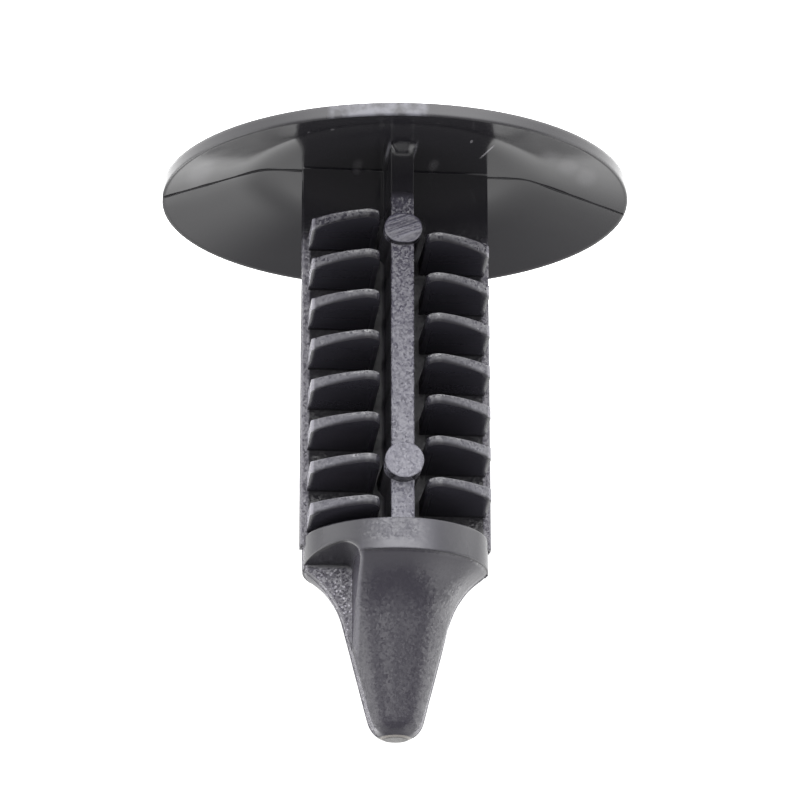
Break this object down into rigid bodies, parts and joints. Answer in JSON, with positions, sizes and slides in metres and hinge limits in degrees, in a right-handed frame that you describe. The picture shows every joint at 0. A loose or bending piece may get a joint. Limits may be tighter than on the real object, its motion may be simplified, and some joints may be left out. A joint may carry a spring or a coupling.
{
  "type": "push-in trim panel clip",
  "caption": "One-piece moulded push-in clip: a thin umbrella head and a finned stem with a tapered nose that holds a trim panel in a round hole.",
  "frame": {"origin": "centre of the flat on the head's outer face, which the clip stands on", "axes": "+Z along the stem from the head to the tip of the nose; the mould parts at the plane Y = 0, and the flat web of the stem lies in it, across X"},
  "size_m": [0.02, 0.02, 0.0259],
  "materials": {
    "black_moulded_plastic": "satin black, moulded smooth on the head and nose, spark-eroded grain on the stem"
  },
  "bodies": {
    "root": {"push_clip": "black_moulded_plastic"}
  },
  "joints": []
}
